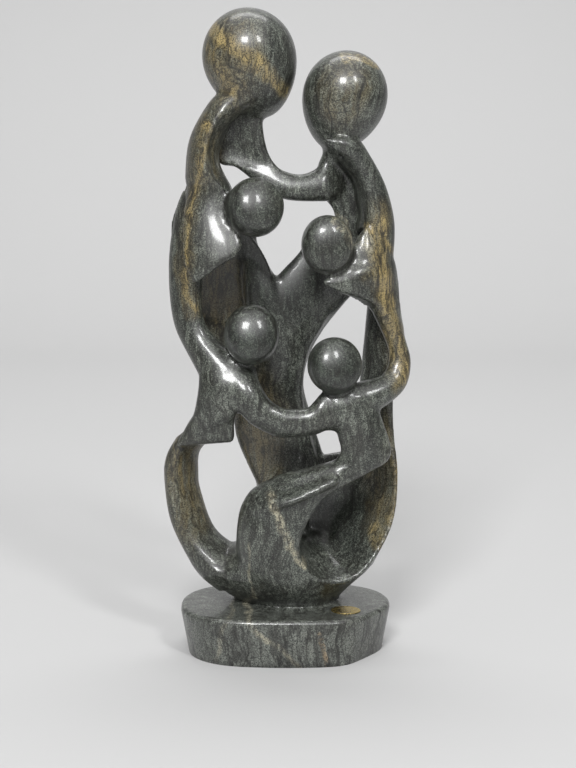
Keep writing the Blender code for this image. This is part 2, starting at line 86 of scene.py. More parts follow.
def head(name, centre, size, chin=0.0, lean=(0.0, 0.0)):
    """An egg of a width, depth and length, pinched to the chin, which swings right and forward."""
    rows, columns = 40, 64
    width, depth, length = size
    points = [(0, 0, length / 2)]
    for row in range(1, rows):
        climb = math.pi * row / rows
        rise, girth = math.cos(climb) / 2, math.sin(climb) / 2
        pinch = 1 - chin * (0.5 - rise) ** 2
        for column in range(columns):
            turn = 2 * math.pi * column / columns
            points.append(
                (
                    girth * pinch * math.cos(turn) * width,
                    girth * pinch * math.sin(turn) * depth,
                    rise * length,
                )
            )
    points.append((0, 0, -length / 2))
    faces = []
    last = len(points) - 1
    for column in range(columns):
        beside = (column + 1) % columns
        faces.append((0, 1 + column, 1 + beside))
        faces.append((last, last - columns + beside, last - columns + column))
        for row in range(rows - 2):
            low = 1 + row * columns
            faces.append((low + column, low + columns + column, low + columns + beside, low + beside))
    swing, nod = math.radians(-lean[0]), math.radians(lean[1])
    placed = []
    for x, y, z in points:
        y, z = y * math.cos(nod) - z * math.sin(nod), y * math.sin(nod) + z * math.cos(nod)
        x, z = x * math.cos(swing) + z * math.sin(swing), z * math.cos(swing) - x * math.sin(swing)
        placed.append(on_slab(Vector((x, y, z)) + Vector(centre)))
    return rough_block(name, placed, faces)


def child_head(name, centre, size, look):
    """A round head of a width and height, its face a low dome turned right and up by look."""
    profile = [
        (1.0, 0.0),
        (0.985, 0.25),
        (0.93, 0.5),
        (0.83, 0.72),
        (0.68, 0.88),
        (0.48, 0.95),
        (0.2, 1.0),
        (-0.1, 1.0),
        (-0.4, 0.92),
        (-0.7, 0.71),
        (-0.92, 0.38),
        (-1.0, 0.0),
    ]
    columns = 64
    right, up = math.radians(look[0]), math.radians(look[1])
    forward = Vector(
        (math.sin(right) * math.cos(up), -math.cos(right) * math.cos(up), math.sin(up))
    )
    aside = forward.cross(Vector((0, 0, 1))).normalized()
    above = aside.cross(forward)
    rings = []
    for depth, girth in profile:
        girth = max(girth, 0.01)
        ring = []
        for column in range(columns):
            turn = 2 * math.pi * column / columns
            ring.append(
                on_slab(
                    Vector(centre)
                    + forward * (depth * size[0] * CHILD_DEPTH)
                    + aside * (girth * math.cos(turn) * size[0] / 2)
                    + above * (girth * math.sin(turn) * size[1] / 2)
                )
            )
        rings += ring
    return rough_block(name, rings, ring_faces(len(rings), columns))


blocks = [
    head("father_head", (-29, 0, 471.7), (84, 80, 95), 0.26, (17, 10)),
    head("mother_head", (49, 0, 440), (76, 74, 87), 0.24, (-15, 8)),
    child_head("first_child_head", (-26, -30, 353), (48, 50), (18, 20)),
    child_head("second_child_head", (35, -32, 322), (44, 50), (5, 8)),
    child_head("third_child_head", (-29, -38, 246), (47, 51), (6, 20)),
    child_head("fourth_child_head", (41, -40, 220), (46, 48), (18, 18)),
]


# The loop of arms.
# The parents' arms come off their necks as flat bands and meet under the children as one
# rounded garland. They are cut from the block by hand, so their edges are keen but uneven.


def smooth_run(stations, steps=10):
    """The sections with more between them, along a smooth curve that passes through each."""
    knots = np.array(stations, float)
    ends = np.vstack([2 * knots[0] - knots[1], knots, 2 * knots[-1] - knots[-2]])
    run = []
    for i in range(1, len(ends) - 2):
        before, start, end, after = ends[i - 1 : i + 3]
        for t in np.arange(steps) / steps:
            run.append(
                start
                + 0.5 * t * (end - before)
                + t * t * (before - 2.5 * start + 2 * end - 0.5 * after)
                + t**3 * (1.5 * (start - end) + 0.5 * (after - before))
            )
    run.append(knots[-1])
    return np.array(run)


def skinned(name, rings, sides):
    """A closed block through rings of points, given in drawing millimetres."""
    points = [on_slab(point) for ring in rings for point in ring]
    return rough_block(name, points, ring_faces(len(points), sides))


def at(x1, y1, z1, x2, y2, z2, thick, swell=0.0):
    """A section of a sheet: its two edges, its thickness, and how far its middle swells out."""
    return (x1, y1, z1, x2, y2, z2, thick, swell)


def sheet(name, stations, edge=1.0, sides=40):
    """A sheet of stone between two edges. edge 1 is an oval section, and more a keener edge."""
    run = smooth_run(stations)
    left, right = run[:, 0:3], run[:, 3:6]
    along = np.gradient((left + right) / 2, axis=0)
    turns = 2 * np.pi * np.arange(sides) / sides
    across = np.cos(turns)
    out = np.sign(np.sin(turns)) * np.abs(np.sin(turns)) ** edge
    rings = []
    for row, first, last, tangent in zip(run, left, right, along):
        half = (last - first) / 2
        look = np.cross(tangent, half)
        look = look / np.linalg.norm(look)
        middle = (first + last) / 2
        thick = max(row[6], 0.5) / 2
        rings.append(
            [middle + half * a + look * (b * thick + row[7] * (1 - a * a)) for a, b in zip(across, out)]
        )
    return skinned(name, rings, sides)


blocks += [
    sheet(
        "father_arm",
        [
            at(-25, -29, 451, -26, -28, 449, 3),
            at(-37, -24, 453, -35, -27, 442, 6),
            at(-50, -17, 451, -46, -29, 435, 8),
            at(-63, -9, 441, -56, -32, 426, 10),
            at(-80, -2, 410, -66, -34, 405, 12),
            at(-85, -1, 378, -63, -33, 382, 13),
            at(-84, -9, 365, -51, -31, 368, 13, 1),
            at(-87, -25, 342, -47, -32, 347, 12, 1),
            at(-87, -36, 313, -36, -40, 328, 9, 2),
            at(-81, -41, 295, -39, -45, 315, 7, 2),
            at(-75, -42, 290, -48, -45, 311, 4, 1),
        ],
        1.4,
    ),
    sheet(
        "father_inner",
        [
            at(-28, -28, 447, -28, -12, 440, 6),
            at(-53, -26, 428, -49, -3, 421, 9),
            at(-66, -26, 403, -58, 2, 398, 10),
            at(-66, -25, 391, -58, 2, 387, 10),
            at(-62, -24, 379, -53, 0, 376, 10),
            at(-54, -22, 369, -48, -4, 367, 9),
            at(-49, -22, 357, -45, -8, 355, 8),
        ],
    ),
    sheet(
        "father_band",
        [
            at(-86, 8, 363, -68, -10, 366, 18),
            at(-93, 8, 344, -70, -12, 345, 20),
            at(-99, 5, 300, -72, -16, 303, 21, 1),
            at(-94, -3, 249, -71, -20, 255, 20, 1),
            at(-75, -27, 211, -42, -21, 227, 22, 3),
            at(-63, -34, 196, -27, -26, 218, 22, 3),
            at(-43, -42, 183, -23, -32, 206, 22, 3),
            at(-29, -40, 169, -16, -38, 194, 21, 2),
            at(-16, -32, 162, -7, -45, 185, 20, 1),
            at(-3, -33, 158, 2, -45, 182, 20, 1),
            at(23, -33, 160, 19, -44, 183, 20, 1),
            at(34, -33, 163, 25, -42, 189, 20, 1),
            at(45, -33, 161, 31, -38, 196, 20, 1),
            at(55, -32, 154, 41, -34, 201, 20),
        ],
        0.95,
    ),
    sheet(
        "mother_arm",
        [
            at(30, -27, 409, 33, -27, 411, 3),
            at(40, -27, 401, 46, -26, 412, 9),
            at(51, -25, 394, 60, -17, 410, 13, 1),
            at(58, -23, 388, 68, -9, 398, 14, 1),
            at(67, -18, 369, 83, -1, 369, 15, 2),
            at(70, -17, 343, 92, 1, 339, 15, 2),
            at(75, -14, 314, 91, 2, 308, 15, 1),
            at(79, -8, 293, 88, 6, 289, 14),
        ],
        1.15,
    ),
    sheet(
        "mother_inner",
        [
            at(46, 8, 396, 47, -18, 396, 8),
            at(53, 8, 385, 55, -18, 389, 9),
            at(61, 10, 371, 65, -15, 376, 9),
            at(66, 10, 344, 69, -15, 348, 9),
            at(62, 6, 329, 70, -15, 334, 9),
        ],
    ),
]


# The necks, the yoke and the chests.
# One swag joins the parents' necks, and a deep smooth hollow is scooped behind each arm down
# to the first pair of heads.

blocks += [
    sheet(
        "yoke",
        [
            at(-46, 4, 445, -19, 2, 438, 28),
            at(-52, 8, 426, -20, 0, 424, 22, -5),
            at(-60, 10, 409, -18, 0, 408, 18, -8),
            at(-62, 9, 395, -14, 0, 395, 16, -7),
            at(-54, 7, 386, -8, 0, 386, 15, -4),
            at(-42, 4, 384, 0, 0, 381, 16, -2),
            at(-8, -4, 360, 14, 4, 378, 18),
            at(30, -3, 356, 26, 6, 383, 18),
            at(42, 4, 358, 30, 6, 391, 18, -1),
            at(50, 12, 366, 34, 8, 399, 14),
        ],
        0.8,
    ),
    sheet(
        "mother_chest",
        [
            at(32, 4, 404, 57, 6, 402, 26),
            at(31, 5, 392, 63, 12, 383, 20, -4),
            at(28, 3, 377, 68, 14, 368, 18, -7),
            at(30, 4, 362, 70, 14, 352, 18, -7),
            at(41, 8, 347, 72, 14, 337, 17, -6),
            at(42, 12, 328, 76, 14, 321, 17, -3),
            at(38, 14, 311, 82, 14, 302, 17),
            at(38, 17, 294, 82, 15, 287, 14),
        ],
    ),
]


# The children's bodies.
# Each flares out under its head like a bell or a blade, thin at the hem and thick where it
# grows out of the parents' arms.

blocks += [
    sheet(
        "second_child",
        [
            at(60, -20, 326, 70, -17, 337, 8),
            at(56, -25, 317, 86, -9, 320, 13, 2),
            at(51, -29, 307, 93, -5, 306, 13, 5),
            at(42, -36, 299, 96, -3, 293, 12, 8),
            at(31, -42, 292, 98, -2, 279, 10, 8),
            at(40, -41, 285, 99, -2, 266, 10, 6),
            at(67, -27, 272, 101, -2, 245, 15, 3),
            at(76, -22, 262, 102, -2, 234, 16, 2),
            at(89, -17, 237, 104, -3, 215, 18, 2),
            at(91, -17, 224, 103, -5, 204, 19, 2),
            at(89, -21, 214, 97, -10, 192, 20, 2),
            at(79, -22, 207, 87, -24, 183, 20, 2),
            at(52, -30, 202, 58, -36, 168, 21, 2),
            at(39, -35, 198, 42, -37, 163, 21, 2),
        ],
        1.05,
    ),
    sheet(
        "third_child",
        [
            at(-77, -18, 221, -36, -27, 222, 20, 2),
            at(-74, -28, 205, -30, -38, 197, 21, 3),
            at(-78, -27, 179, -41, -36, 179, 20, 3),
            at(-84, -22, 167, -44, -34, 171, 18, 3),
            at(-93, -18, 150, -44, -33, 156, 14, 1),
            at(-95, -18, 145, -47, -33, 152, 12),
        ],
        0.8,
    ),
    sheet(
        "fourth_child",
        [
            at(41, -33, 191, 74, -28, 195, 22, 2),
            at(41, -34, 172, 80, -30, 179, 21, 3),
            at(47, -34, 147, 90, -34, 150, 17, 3),
            at(45, -33, 140, 88, -36, 137, 16, 3),
            at(39, -27, 134, 71, -38, 126, 17, 3),
            at(12, -21, 124, 41, -42, 111, 20, 4),
            at(-3, -20, 121, 31, -43, 103, 21, 4),
            at(-19, -20, 114, 23, -43, 91, 22, 4),
            at(-31, -25, 107, 17, -42, 79, 24, 5),
            at(-39, -25, 93, 13, -40, 66, 26, 6),
            at(-42, -25, 77, 13, -38, 53, 28, 6),
            at(-43, -24, 59, 17, -34, 41, 28, 6),
            at(-42, -22, 42, 26, -28, 28, 28, 5),
            at(-38, -16, 25, 37, -19, 14, 24, 4),
            at(-32, -7, 5, 39, -7, 1, 22, 2),
        ],
    ),
]


# The parents' backs.
# A hollow shell on the left, a slanting body on the right, and one trunk below. They are
# rubbed smooth like the front, though a buyer hardly sees them.


def cut(x, y, z, wide, thick, face=0.0, tilt=0.0, bow=0.0):
    """A section: its middle, width, thickness, the way its flat looks, and how far its edges bow."""
    return (x, y, z, wide, thick, face, tilt, bow)


def limb(name, stations, edge=1.0, sides=40):
    """A band through sections that each turn about the height."""
    run = smooth_run(stations)
    along = np.gradient(run[:, :3], axis=0)
    turns = 2 * np.pi * np.arange(sides) / sides
    across = np.cos(turns)
    out = np.sign(np.sin(turns)) * np.abs(np.sin(turns)) ** edge
    rings = []
    for row, tangent in zip(run, along):
        x, y, z, wide, thick, face, tilt, bow = row
        tangent = tangent / np.linalg.norm(tangent)
        face, tilt = math.radians(face), math.radians(tilt)
        look = np.array(
            [math.sin(face) * math.cos(tilt), -math.cos(face) * math.cos(tilt), math.sin(tilt)]
        )
        look = look - tangent * look.dot(tangent)
        look = look / np.linalg.norm(look)
        side = np.cross(tangent, look) * max(wide, 0.5) / 2
        thick = max(thick, 0.5) / 2
        middle = np.array([x, y, z])
        rings.append(
            [middle + side * a + look * (b * thick + bow * a * a) for a, b in zip(across, out)]
        )
    return skinned(name, rings, sides)


blocks += [
    limb(
        "father_back",
        [
            cut(-74, 0, 404, 10, 6, -55),
            cut(-74, 8, 386, 20, 10, -45),
            cut(-72, 16, 364, 32, 14, -30, 0, 2),
            cut(-70, 22, 338, 58, 14, -14, 0, 8),
            cut(-62, 28, 312, 78, 14, -8, 0, 14),
            cut(-54, 32, 286, 88, 15, -6, 0, 16),
            cut(-50, 34, 258, 86, 16, -6, 0, 14),
            cut(-45, 34, 230, 72, 18, -6, 0, 8),
            cut(-36, 33, 200, 50, 22, -8, 0, 2),
            cut(-24, 31, 165, 44, 26, -14),
            cut(-13, 28, 130, 42, 26, -14),
            cut(-5, 24, 95, 42, 26, -15),
            cut(-4, 18, 55, 50, 28, -10),
            cut(-4, 13, 20, 60, 32, 0),
        ],
    ),
    limb(
        "mother_back",
        [
            cut(60, 12, 380, 26, 8, -12),
            cut(66, 17, 352, 42, 14, -12),
            cut(64, 20, 326, 48, 19, -8),
            cut(53, 22, 303, 48, 20, -5),
            cut(33, 26, 276, 44, 22, 0),
            cut(14, 30, 252, 46, 24, 5),
            cut(0, 32, 225, 46, 26, 8),
            cut(-3, 32, 190, 38, 26, 10),
            cut(4, 31, 155, 40, 26, 12),
            cut(12, 32, 122, 44, 20, 6),
            cut(18, 33, 90, 50, 15, 0),
            cut(18, 33, 50, 60, 15, 0),
        ],
    ),
    sheet(
        "father_spine",
        [
            at(-43, 24, 336, -26, 24, 327, 13),
            at(-40, 22, 316, -22, 22, 311, 14),
            at(-36, 18, 284, -1, 18, 276, 16, 1),
            at(-35, 18, 261, 17, 18, 250, 18, 2),
            at(-35, 18, 237, 20, 18, 224, 20, 2),
            at(-38, 19, 210, 16, 19, 201, 20, 2),
            at(-44, 20, 180, 16, 20, 174, 20, 2),
            at(-44, 21, 146, 23, 21, 142, 20, 2),
            at(-22, 17, 95, 39, 17, 93, 20, 2),
        ],
    ),
    sheet(
        "mother_spine",
        [
            at(17, 24, 322, 65, 28, 293, 14),
            at(12, 22, 310, 56, 26, 279, 15),
            at(-10, 18, 286, 39, 21, 255, 17, 1),
            at(-19, 18, 268, 30, 20, 240, 18, 2),
            at(-24, 18, 241, 22, 19, 226, 18, 2),
            at(-26, 20, 213, 17, 19, 209, 18),
        ],
    ),
    sheet(
        "right_wall",
        [
            at(70, 20, 326, 84, 6, 322, 7),
            at(73, 27, 300, 90, 9, 297, 12),
            at(73, 30, 270, 94, 10, 269, 14),
            at(63, 33, 162, 94, 9, 165, 14),
            at(57, 30, 106, 98, -2, 115, 13, -4),
            at(46, 20, 66, 93, -12, 74, 12, -7),
            at(32, 8, 38, 73, -24, 40, 12, -6),
            at(23, 0, 33, 56, -29, 28, 12, -4),
            at(13, -10, 36, 35, -32, 27, 12, -2),
            at(2, -16, 43, 17, -33, 39, 12),
        ],
    ),
]


# The legs and the bowl.
# The left leg is an open loop and the front leg curls over the bowl, which is scooped out on
# the right down to a thin wavy lip.

blocks += [
    sheet(
        "left_leg",
        [
            at(-81, -14, 164, -55, -8, 159, 16),
            at(-94, -13, 149, -70, 6, 145, 14),
            at(-100, -11, 136, -77, 14, 133, 13),
            at(-102.7, -10, 118, -78, 17, 116, 13),
            at(-101, -10, 98, -76, 18, 97, 13),
            at(-89, -13, 64, -63, 17, 62, 13),
            at(-69, -20, 37, -37, 12, 43, 15),
            at(-57, -24, 30, -21, 8, 34, 17),
            at(-47, -24, 27, -9, 4, 30, 19),
        ],
    ),
    sheet(
        "left_hull",
        [
            at(-92, 0, 150, -83, -14, 153, 12),
            at(-101.7, 2, 133, -94, -11, 133, 12),
            at(-103.7, 3, 114, -97, -10, 115, 12),
            at(-99, 3, 76, -91, -11, 79, 13),
            at(-83, 3, 43, -73, -16, 46, 16),
            at(-72, 4, 27, -62, -20, 35, 18),
            at(-57, 6, 14, -47, -18, 25, 20),
        ],
    ),
    sheet(
        "front_leg",
        [
            at(45, -29, 135, 47, -45, 122, 11),
            at(35, -21, 130, 39, -53, 119, 11, -1),
            at(1, -15, 118, 9, -58, 106, 11, -1),
            at(-14, -15, 114, -4, -57, 101, 12),
            at(-25, -18, 108, -15, -53, 96, 13),
            at(-34, -24, 100, -25, -44, 87, 13),
        ],
        0.95,
    ),
]


def level(z, left, right, front, back, sides=64):
    """A flat ring of the bowl, between its ends and its faces."""
    ring = []
    for k in range(sides):
        angle = 2 * math.pi * k / sides
        ring.append(
            (
                (left + right) / 2 + (right - left) / 2 * math.cos(angle),
                (front + back) / 2 + (back - front) / 2 * math.sin(angle),
                z,
            )
        )
    return ring


def scoop_ring(y, x, z, wide, high, sides=48):
    """A ring of the scoop's hollow, which goes back from the front."""
    ring = []
    for k in range(sides):
        turn = 2 * math.pi * k / sides
        across, up = math.cos(turn), math.sin(turn)
        across = math.copysign(abs(across) ** 0.8, across)
        up = math.copysign(abs(up) ** 0.8, up)
        ring.append((x + wide * across, y, z + high * up))
    return ring


bowl = skinned(
    "bowl",
    [
        level(-3, -41, 43, -16, 36),
        level(2, -45, 47, -18, 37),
        level(8, -53, 51, -26, 38),
        level(16, -60, 58, -33, 40),
        level(28, -70, 71, -39, 43),
        level(36, -66, 78, -41, 44),
        level(44, -56, 82, -41, 45),
        level(52, -46, 86, -42, 45),
        level(58, -38, 87, -41, 44),
    ],
    64,
)
scoop = skinned(
    "scoop",
    [
        scoop_ring(-75, 56, 84, 52, 60),
        scoop_ring(-45, 54, 82, 46, 56),
        scoop_ring(-30, 52, 80, 42, 52),
        scoop_ring(-10, 51, 81, 38, 46),
        scoop_ring(8, 50, 83, 34, 39),
        scoop_ring(20, 48, 86, 26, 30),
        scoop_ring(27, 46, 90, 14, 15),
    ],
    48,
)
carve = bowl.modifiers.new("Scoop", "BOOLEAN")
carve.object = scoop
carve.operation = "DIFFERENCE"
carve.solver = "EXACT"
bpy.context.view_layer.objects.active = bowl
bpy.ops.object.modifier_apply(modifier=carve.name)
bpy.data.objects.remove(scoop)
blocks.append(bowl)
blocks.append(
    limb(
        "back_wall",
        [
            cut(83, 22, 204, 10, 7, -26),
            cut(79, 29, 174, 26, 14, -20, 0, 2),
            cut(74, 31, 150, 34, 16, -16, 0, 3),
            cut(71, 32, 122, 44, 18, -14, 0, 5),
            cut(56, 32, 98, 82, 19, -12, 0, 12),
            cut(44, 32, 78, 96, 20, -12, 0, 14),
            cut(38, 32, 56, 84, 22, -8, 0, 12),
            cut(36, 30, 38, 60, 22, 0, 0, 4),
        ],
    )
)


# The slab.
# What is left of the block under the figure: an uneven oval, sawn flat under it and at the
# front, with a struck-off corner. Its ends draw in towards the table.

SLAB_WIDTH, SLAB_DEPTH, SLAB_TAPER, SLAB_EDGE = 0.186, 0.126, 0.008, 0.004
SLAB_FULLNESS = 2.5  # 2 would be a plain oval, and more is squarer
FLAT_LOOKS = (-91, -38)  # the ways that the sawn front and the struck corner look, in degrees
FLAT_REACH = 0.97
CORNER_KEENNESS = 22
BELOW_TABLE = 0.006  # trimmed off level with the underside once all is one block


def slab_radius(angle):
    """How far the slab reaches from its middle: its oval and its flats, with soft corners."""
    across, along = abs(math.cos(angle)) / (SLAB_WIDTH / 2), abs(math.sin(angle)) / (SLAB_DEPTH / 2)
    near = (across**SLAB_FULLNESS + along**SLAB_FULLNESS) ** (CORNER_KEENNESS / SLAB_FULLNESS)
    for look in FLAT_LOOKS:
        look = math.radians(look)
        reach = FLAT_REACH * math.hypot(math.cos(look) * SLAB_WIDTH / 2, math.sin(look) * SLAB_DEPTH / 2)
        near += max(math.cos(angle - look) / reach, 0.0) ** CORNER_KEENNESS
    return near ** (-1 / CORNER_KEENNESS)


levels = [(-BELOW_TABLE, SLAB_TAPER), (SLAB_TOP - SLAB_EDGE, 0.0)]
for turn in (20, 40, 60, 80, 90):
    lift = math.radians(turn)
    levels.append((SLAB_TOP - SLAB_EDGE * (1 - math.sin(lift)), SLAB_EDGE * (1 - math.cos(lift))))
slab_points = []
rim = 144
for height, inset in levels:
    for k in range(rim):
        angle = 2 * math.pi * k / rim
        # Under the table line the inset is the taper, which is strongest at the two long ends.
        drawn_in = 0.25 + 0.75 * math.cos(angle) ** 2 if height < 0 else 1
        radius = slab_radius(angle) - inset * drawn_in
        slab_points.append((radius * math.cos(angle), radius * math.sin(angle), height))
blocks.append(rough_block("slab", slab_points, ring_faces(len(slab_points), rim)))


# The one block of stone.
# Nothing is glued: all of the above is one carving in a dark green serpentine, rubbed down
# with wet paper until every inside corner is a soft hollow, and then waxed.

VOXEL = 0.0019
KEPT_SHARE = 0.7  # of the triangles, which keeps the block under 200,000


def ease(mesh, rounds, fill, soften):
    """Rubs the stone down: fill rounds the inside corners out, and soften wears the edges."""
    ends = np.empty(len(mesh.edges) * 2, np.int64)
    mesh.edges.foreach_get("vertices", ends)
    ends = ends.reshape(-1, 2)
    count = len(mesh.vertices)
    near = np.bincount(ends.ravel(), minlength=count)[:, None]
    spots = np.empty(count * 3)
    normals = np.empty(count * 3)
    mesh.vertices.foreach_get("co", spots)
    spots = spots.reshape(-1, 3)
    for _ in range(rounds):
        mesh.vertex_normals.foreach_get("vector", normals)
        total = np.zeros((count, 3))
        for axis in range(3):
            total[:, axis] += np.bincount(ends[:, 0], spots[ends[:, 1], axis], count)
            total[:, axis] += np.bincount(ends[:, 1], spots[ends[:, 0], axis], count)
        outward = normals.reshape(-1, 3)
        along = ((total / near - spots) * outward).sum(1, keepdims=True)
        spots += outward * along * np.where(along > 0, fill, soften)
        mesh.vertices.foreach_set("co", spots.ravel())
        mesh.update()


bpy.ops.object.select_all(action="DESELECT")
for block in blocks:
    block.select_set(True)
bpy.context.view_layer.objects.active = blocks[0]
bpy.ops.object.join()
carving = blocks[0]
carving.name = "carving"
remesh = carving.modifiers.new("Remesh", "REMESH")
remesh.mode = "VOXEL"
remesh.voxel_size = VOXEL
bpy.ops.object.modifier_apply(modifier=remesh.name)
ease(carving.data, 12, 0.7, 0.0)
ease(carving.data, 3, 0.5, 0.15)
thin_out = carving.modifiers.new("Decimate", "DECIMATE")
thin_out.ratio = KEPT_SHARE
bpy.ops.object.modifier_apply(modifier=thin_out.name)
skin = bmesh.new()
skin.from_mesh(carving.data)
bmesh.ops.bisect_plane(
    skin,
    geom=skin.verts[:] + skin.edges[:] + skin.faces[:],
    plane_co=(0, 0, 0),
    plane_no=(0, 0, 1),
    clear_inner=True,
)
bmesh.ops.triangle_fill(skin, edges=[e for e in skin.edges if e.is_boundary], use_beauty=True)
for face in skin.faces:
    face.smooth = abs(face.normal.z) < 0.999 or face.calc_center_median().z > 0.001
bmesh.ops.recalc_face_normals(skin, faces=skin.faces)
skin.to_mesh(carving.data)
skin.free()
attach(carving, "root")
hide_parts("family_carving")


class Wire:
    """One socket of a material's nodes, with the sums that a finish needs."""

    def __init__(self, tree, socket=None):
        self.tree = tree
        self.socket = socket

    def node(self, kind, settings=None, inputs=None, out=0):
        made = self.tree.nodes.new(kind)
        for key, value in (settings or {}).items():
            if key == "stops":
                ramp = made.color_ramp.elements
                while len(ramp) < len(value):
                    ramp.new(0.5)
                for stop, (share, colour) in zip(ramp, value):
                    stop.position = share
                    stop.color = (*colour, 1.0)
            else:
                setattr(made, key, value)
        for key, value in (inputs or {}).items():
            if isinstance(value, Wire):
                self.tree.links.new(value.socket, made.inputs[key])
            else:
                made.inputs[key].default_value = value
        return Wire(self.tree, made.outputs[out])

    def sum(self, operation, *values):
        return self.node("ShaderNodeMath", {"operation": operation}, dict(enumerate(values)))

    def __add__(self, other):
        return self.sum("ADD", self, other)

    __radd__ = __add__

    def __sub__(self, other):
        return self.sum("SUBTRACT", self, other)

    def __rsub__(self, other):
        return self.sum("SUBTRACT", other, self)

    def __mul__(self, other):
        return self.sum("MULTIPLY", self, other)

    __rmul__ = __mul__

    def step(self, low, high, start=0.0, end=1.0):
        """Goes smoothly from start to end as the value goes from low to high."""
        return self.node(
            "ShaderNodeMapRange",
            {"interpolation_type": "SMOOTHSTEP"},
            {"Value": self, "From Min": low, "From Max": high, "To Min": start, "To Max": end},
        )

    def vector(self, operation, *values):
        number_out = 1 if operation in ("LENGTH", "DOT_PRODUCT") else 0
        inputs = {}
        for index, value in enumerate(values):
            inputs[3 if operation == "SCALE" and index == 1 else index] = value
        return self.node("ShaderNodeVectorMath", {"operation": operation}, inputs, number_out)

    def tint(self, mask, colour, mode="MIX"):
        """This colour with another laid over it where the mask is 1."""
        return self.node(
            "ShaderNodeMix",
            {"data_type": "RGBA", "blend_type": mode},
            {0: mask, 6: self, 7: (*colour, 1.0)},
            2,
        )


def new_finish(name):
    """A material with its main shader, and a wire to start its nodes from."""
    made = bpy.data.materials.new(name)
    made.use_nodes = True
    return made, made.node_tree.nodes["Principled BSDF"], Wire(made.node_tree)


def feed(wire, shader, slot):
    """Joins a wire to one slot of a finish's main shader."""
    wire.tree.links.new(wire.socket, shader.inputs[slot])


serpentine, polish, start = new_finish("polished_serpentine")
place = start.node("ShaderNodeTexCoord", out=3)
drift = place.node("ShaderNodeTexNoise", {}, {"Vector": place, "Scale": 24.0, "Detail": 5.0}, 1)
drift = place.vector("SUBTRACT", drift, (0.5, 0.5, 0.5))
warped = place.vector("ADD", place, place.vector("SCALE", drift, 0.022))
upright = place.vector("MULTIPLY", warped, (1.0, 1.0, 0.09))
layered = place.vector("MULTIPLY", warped, (0.3, 1.5, 0.25))
rise = place.node("ShaderNodeSeparateXYZ", {}, {"Vector": place}, 2)


def grain(where, scale, detail=4.0, rough=0.6):
    """The stone's grain at one size: a larger scale is a finer grain."""
    inputs = {"Vector": where, "Scale": scale, "Detail": detail, "Roughness": rough}
    return where.node("ShaderNodeTexNoise", {}, inputs)


def patch(middle, size, soft=0.6):
    """A cloud of another colour: 1 at its middle, 0 past its size, both in drawing millimetres."""
    away = warped.vector("SUBTRACT", warped, tuple(on_slab(middle)))
    away = warped.vector("DIVIDE", away, tuple(s * 0.001 for s in size))
    return warped.vector("LENGTH", away).step(1.0 - soft, 1.0, 1.0, 0.0)


def most(*masks):
    """The strongest of several masks at each point."""
    total = masks[0]
    for mask in masks[1:]:
        total = total.sum("MAXIMUM", total, mask)
    return total


def vein(wide, *points, soft=0.8):
    """A seam of another colour that goes right through the block, seen from the front as a line."""
    flat = warped.vector("MULTIPLY", warped, (1.0, 0.0, 1.0))
    masks = []
    for (x1, z1), (x2, z2) in zip(points, points[1:]):
        a, b = on_slab((x1, 0, z1)), on_slab((x2, 0, z2))
        run = b - a
        away = flat.vector("SUBTRACT", flat, tuple(a))
        share = flat.vector("DOT_PRODUCT", away, tuple(run / run.length_squared))
        share = share.sum("MINIMUM", share.sum("MAXIMUM", share, 0.0), 1.0)
        away = flat.vector("SUBTRACT", away, flat.vector("SCALE", tuple(run), share))
        away = flat.vector("LENGTH", away)
        masks.append(away.step(wide * 0.001 * (1 - soft), wide * 0.001, 1.0, 0.0))
    return most(*masks)


# The ground: fine flecks, upright fibres and bands, and slow clouds, in one run of greens.
fleck = grain(place, 900.0, 3.0, 0.75)
mottle = grain(warped, 75.0, 6.0, 0.62)
fibre = grain(upright, 420.0, 5.0, 0.7)
band = grain(upright, 95.0, 3.0)
cloud = grain(warped, 16.0, 3.0)
tone = 0.46 + (fibre - 0.5) * 1.3 + (band - 0.5) * 0.6 + (mottle - 0.5) * 0.6 + (fleck - 0.5) * 2.0
stone = tone.node(
    "ShaderNodeValToRGB",
    {
        "stops": [
            (0.2, (0.006, 0.006, 0.005)),
            (0.36, (0.029, 0.033, 0.027)),
            (0.48, (0.078, 0.087, 0.072)),
            (0.66, (0.120, 0.132, 0.111)),
            (0.88, (0.23, 0.245, 0.21)),
        ]
    },
    {"Fac": tone},
)
stone = stone.tint(cloud.step(0.5, 0.72) * 0.3, (0.055, 0.050, 0.030))
flow = grain(upright, 150.0, 5.0, 0.7)
broken = flow.step(0.34, 0.62)
chips = grain(warped, 170.0, 4.0, 0.7).step(0.4, 0.56)

# Where the other colours lie. A vein goes right through the block, so the back shows it too.
brown = most(
    patch((-54, 32, 275), (44, 26, 60)),
    patch((-24, 12, 145), (32, 40, 90)),
    patch((-88, 4, 105), (34, 40, 90)),
    patch((49, -30, 447), (30, 34, 44)) * 0.6,
    patch((-50, -30, 475), (40, 50, 60)) * 0.8,
    patch((-72, -10, 400), (26, 50, 60)) * 0.7,
    patch((86, 0, 115), (26, 50, 80)) * 0.8,
    vein(17, (80, 350), (77, 324), (76, 300), (84, 272), (95, 238), (99, 200)),
    vein(11, (-67, 430), (-71, 392), (-80, 346), (-87, 300), (-80, 262)),
)
ochre = most(
    vein(11, (-64, 505), (-44, 486), (-19, 466), (4, 447)),
    vein(7, (-65, 484), (-50, 459), (-42, 447)) * 0.6,
    vein(6, (52, 476), (64, 476), (74, 468)),
    vein(5, (97, 130), (100, 95), (94, 72)) * 0.6,
    vein(3.5, (-67, 425), (-71, 392), (-79, 346), (-86, 304), (-85, 282), (-78, 266)),
    vein(11, (80, 338), (77, 318), (77, 300), (86, 270), (96, 236), (100, 205)),
    vein(5, (66, 334), (94, 313)),
    patch((81, -5, 62), (9, 26, 14)) * 0.6,
)
